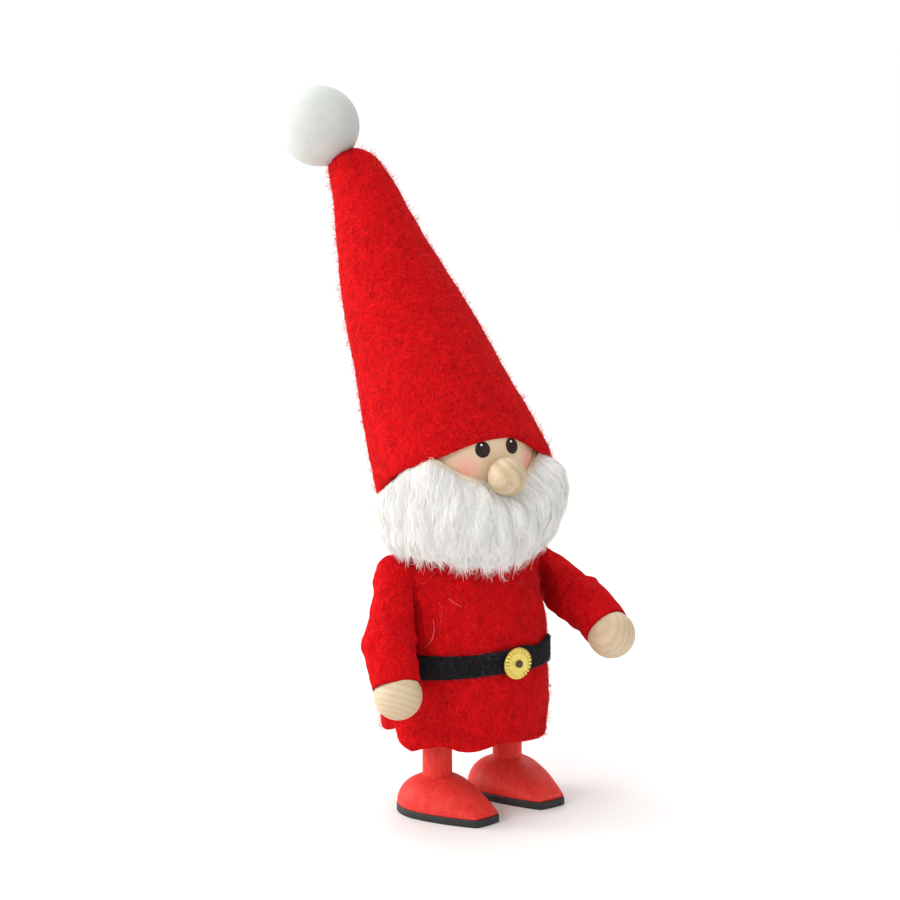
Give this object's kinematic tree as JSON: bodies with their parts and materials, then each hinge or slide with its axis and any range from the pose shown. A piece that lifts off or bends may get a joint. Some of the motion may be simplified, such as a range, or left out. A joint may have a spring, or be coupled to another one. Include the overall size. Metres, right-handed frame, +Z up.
{
  "type": "tomte gnome figurine",
  "caption": "Small turned-wood gnome on dowel legs, dressed in a red felt tunic, a belt and a tall leaning cone hat with a ball, with a wool beard and posable arms.",
  "frame": {"origin": "on the floor under the middle of the figure's outline seen from above", "axes": "+Z up, the feet point along -Y, the figure's left hand is towards +X, the hat leans towards +Y"},
  "size_m": [0.054, 0.0816, 0.1412],
  "materials": {
    "bare_wood": "fine sanded beech with a thin clear wax",
    "red_stained_wood": "red stain with the grain showing, satin",
    "white_painted_wood": "white paint, satin",
    "red_felt": "pressed wool felt, matt and slightly hairy",
    "black_felt": "pressed wool felt, matt",
    "beard_wool": "long white lambswool",
    "wool_stuffing": "loose wool wadding",
    "beard_hide": "thin undyed lambskin, suede",
    "sole_rubber": "matt black sheet rubber",
    "buckle_brass": "stamped brass, satin",
    "pin_metal": "darkened brass pin",
    "arm_wire": "plain drawn wire"
  },
  "bodies": {
    "body": {"body_core": "bare_wood", "neck_peg": "bare_wood", "leg_left": "red_stained_wood", "leg_right": "red_stained_wood", "shoe_left": "red_stained_wood", "shoe_right": "red_stained_wood", "sole_left": "sole_rubber", "sole_right": "sole_rubber", "tunic": "red_felt", "belt": "black_felt", "buckle": "buckle_brass", "buckle_pin": "pin_metal"},
    "head_and_hat": {"head": "bare_wood", "nose": "bare_wood", "nose_peg": "bare_wood", "beard_backing": "beard_hide", "beard_wool": "beard_wool", "hat": "red_felt", "hat_stuffing": "wool_stuffing", "hat_plug": "bare_wood", "ball_peg": "bare_wood", "hat_ball": "white_painted_wood"},
    "left_arm": {"arm_wire_left": "arm_wire", "sleeve_left": "red_felt", "hand_left": "bare_wood"},
    "right_arm": {"arm_wire_right": "arm_wire", "sleeve_right": "red_felt", "hand_right": "bare_wood"}
  },
  "joints": [
    {"name": "neck", "type": "hinge", "parent": "body", "child": "head_and_hat", "pos_m": [0.00236, -0.01359, 0.056], "axis": [0, 0, 1], "range_deg": [-60, 60]},
    {"name": "shoulder_left", "type": "hinge", "parent": "body", "child": "left_arm", "pos_m": [0.00236, -0.01359, 0.0473], "axis": [-0.9877, 0.1564, 0], "range_deg": [-33, 27]},
    {"name": "shoulder_right", "type": "hinge", "parent": "body", "child": "right_arm", "pos_m": [0.00236, -0.01359, 0.0473], "axis": [-0.9877, 0.1564, 0], "range_deg": [-5, 55]}
  ]
}
